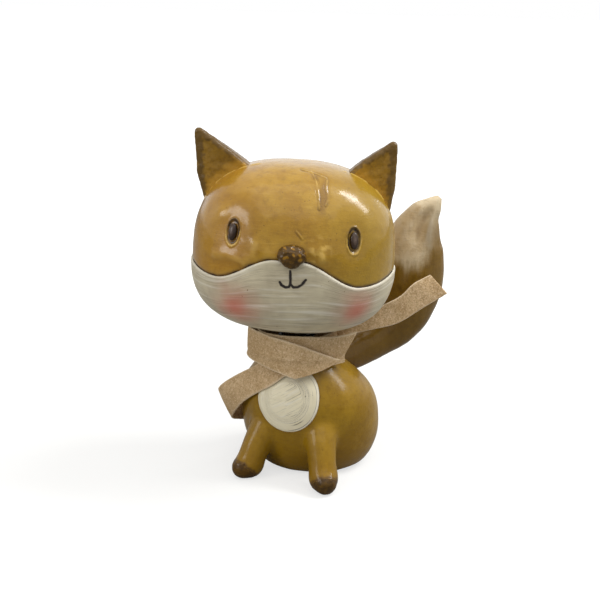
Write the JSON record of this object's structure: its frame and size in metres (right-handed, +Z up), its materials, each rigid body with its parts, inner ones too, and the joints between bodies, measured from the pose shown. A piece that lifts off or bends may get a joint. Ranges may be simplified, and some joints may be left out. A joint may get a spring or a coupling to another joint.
{
  "type": "fox figurine",
  "caption": "Seated fox figurine in painted resin with a tall upright tail, a felt scarf and an oversized head that nods, sways and turns on a hidden neck spring.",
  "frame": {"origin": "centre of the flat face under the body, on which the figurine stands", "axes": "+Z up; the body faces -Y; the fox's own left side, with the tail, is +X"},
  "size_m": [0.0815, 0.079, 0.1209],
  "materials": {
    "ochre_resin": "hand-painted satin, ochre with darker brush marks",
    "pale_resin": "hand-painted satin off-white with fine brush lines",
    "umber_resin": "hand-painted satin dark brown",
    "pearl_resin": "hand-painted pearly cream fading to ochre",
    "felt": "matted wool felt, cut edges",
    "spring_steel": "bare drawn wire",
    "seat_plastic": "moulded, unpainted"
  },
  "bodies": {
    "figure": {"body_casting": "ochre_resin", "belly_patch": "pale_resin", "left_paw_tip": "umber_resin", "right_paw_tip": "umber_resin", "tail": "ochre_resin", "tail_tip": "pearl_resin", "lower_spring_seat": "seat_plastic", "scarf_loop": "felt", "scarf_band": "felt", "scarf_drape": "felt"},
    "spring": {"neck_spring": "spring_steel"},
    "head_seat": {"upper_spring_seat": "seat_plastic"},
    "head": {"head_socket": "seat_plastic", "head_shell": "ochre_resin", "face_mask": "pale_resin", "left_ear": "ochre_resin", "right_ear": "ochre_resin", "nose": "umber_resin", "left_eye": "umber_resin", "right_eye": "umber_resin"}
  },
  "joints": [
    {"name": "head_nod", "type": "hinge", "parent": "figure", "child": "spring", "pos_m": [-0.0025, -0.011, 0.0536], "axis": [1, 0, 0], "range_deg": [-4, 4], "stiffness_Nm_per_rad": 0.12, "springref_deg": -0.59, "deforming": ["neck_spring"]},
    {"name": "head_sway", "type": "hinge", "parent": "spring", "child": "head_seat", "pos_m": [-0.0025, -0.011, 0.0536], "axis": [0, 1, 0], "range_deg": [-4, 4], "stiffness_Nm_per_rad": 0.12, "springref_deg": 0.21, "deforming": ["neck_spring"]},
    {"name": "head_turn", "type": "hinge", "parent": "head_seat", "child": "head", "pos_m": [-0.0025, -0.011, 0.0536], "axis": [0, 0, 1], "range_deg": [-25, 25]}
  ]
}
